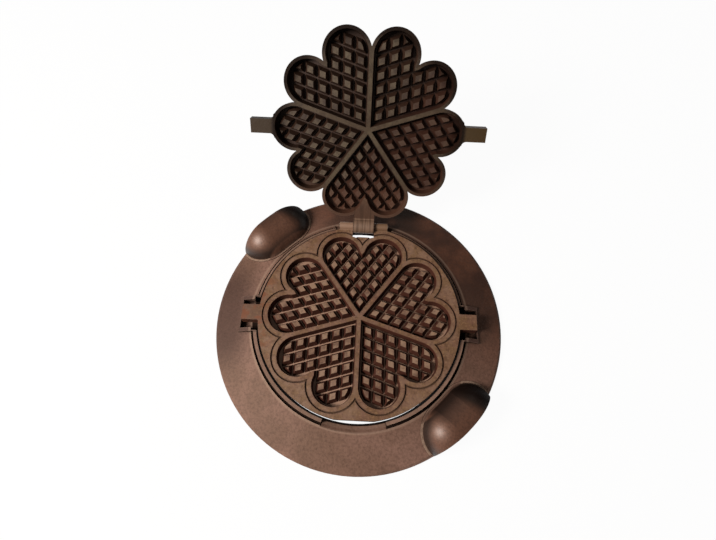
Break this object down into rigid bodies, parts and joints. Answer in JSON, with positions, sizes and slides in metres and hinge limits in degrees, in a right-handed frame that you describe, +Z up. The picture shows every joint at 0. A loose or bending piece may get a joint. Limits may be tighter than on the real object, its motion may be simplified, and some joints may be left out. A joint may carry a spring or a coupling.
{
  "type": "stovetop waffle iron",
  "caption": "Round cast-iron stovetop waffle iron: a stove ring with hand scoops carries a hinged pair of heart-patterned plates that turns over in two sockets; the lid lies open.",
  "frame": {"origin": "centre of the stove ring, in the plane of the stove that its foot stands on", "axes": "+Z up; +Y towards the hinge at the back; +X to the right, along the line of the two lugs"},
  "size_m": [0.2644, 0.3392, 0.1581],
  "materials": {
    "ring_iron": "brown-black seasoned casting, slightly rough",
    "lower_iron": "seasoned casting, worn tan-brown on the flat faces",
    "lid_iron": "dark seasoned casting, thin greasy film",
    "pin_steel": "darkened steel rod with hammered ends"
  },
  "bodies": {
    "base": {"base_ring": "ring_iron"},
    "lower": {"lower_plate": "lower_iron", "hinge_pin": "pin_steel"},
    "upper": {"upper_plate": "lid_iron"}
  },
  "joints": [
    {"name": "plate_turn", "type": "hinge", "parent": "base", "child": "lower", "pos_m": [0, 0, 0.021], "axis": [1, 0, 0], "range_deg": [0, 150]},
    {"name": "lid_hinge", "type": "hinge", "parent": "lower", "child": "upper", "pos_m": [0, 0.092, 0.021], "axis": [1, 0, 0], "range_deg": [0, 128]}
  ]
}
